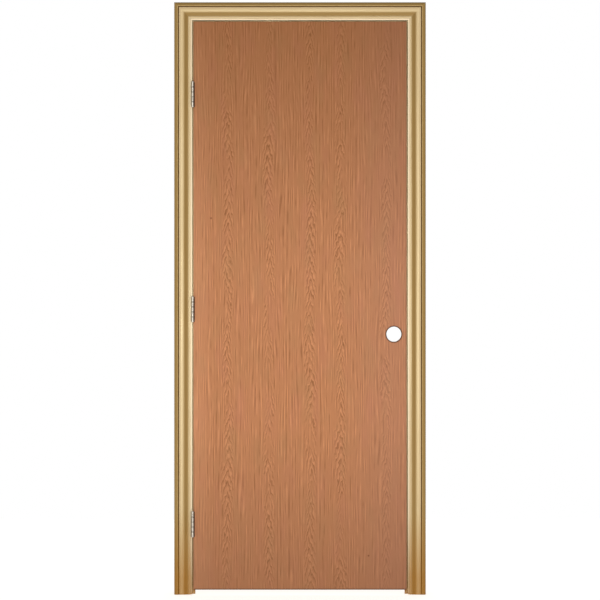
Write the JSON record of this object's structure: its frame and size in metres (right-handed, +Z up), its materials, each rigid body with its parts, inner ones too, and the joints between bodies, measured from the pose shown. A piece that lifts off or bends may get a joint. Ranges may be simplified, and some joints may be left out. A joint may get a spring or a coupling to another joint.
{
  "type": "prehung hollow core door",
  "caption": "Flush oak veneered interior door in a cased pine frame, on butt hinges, bored through its face and edge for a lockset.",
  "frame": {"origin": "middle of the hinge jamb's foot, on the floor", "axes": "+X from the hinge jamb to the latch jamb, +Y through the doorway away from the side that the door opens to, +Z up"},
  "size_m": [0.8993, 0.1529, 2.1177],
  "materials": {
    "oak_veneer": "sanded, unfinished rotary red oak veneer",
    "softwood_core": "planed softwood",
    "kraft_paper": "uncoated brown kraft paper",
    "pine": "machined and sanded clear pine, unfinished",
    "satin_nickel": "satin nickel plate, brushed"
  },
  "bodies": {
    "frame": {"hinge_jamb": "pine", "latch_jamb": "pine", "head_jamb": "pine", "hinge_stop": "pine", "latch_stop": "pine", "head_stop": "pine", "front_hinge_casing": "pine", "front_latch_casing": "pine", "front_head_casing": "pine", "back_hinge_casing": "pine", "back_latch_casing": "pine", "back_head_casing": "pine", "lower_hinge_jamb_leaf": "satin_nickel", "lower_hinge_pin": "satin_nickel", "middle_hinge_jamb_leaf": "satin_nickel", "middle_hinge_pin": "satin_nickel", "upper_hinge_jamb_leaf": "satin_nickel", "upper_hinge_pin": "satin_nickel"},
    "door": {"front_skin": "oak_veneer", "back_skin": "oak_veneer", "hinge_stile": "softwood_core", "latch_stile": "softwood_core", "top_rail": "softwood_core", "bottom_rail": "softwood_core", "lock_block": "softwood_core", "honeycomb_core": "kraft_paper", "lower_hinge_door_leaf": "satin_nickel", "middle_hinge_door_leaf": "satin_nickel", "upper_hinge_door_leaf": "satin_nickel"}
  },
  "joints": [
    {"name": "door_swing", "type": "hinge", "parent": "frame", "child": "door", "pos_m": [0.01135, -0.07245, 0.931], "axis": [0, 0, -1], "range_deg": [0, 180]}
  ]
}
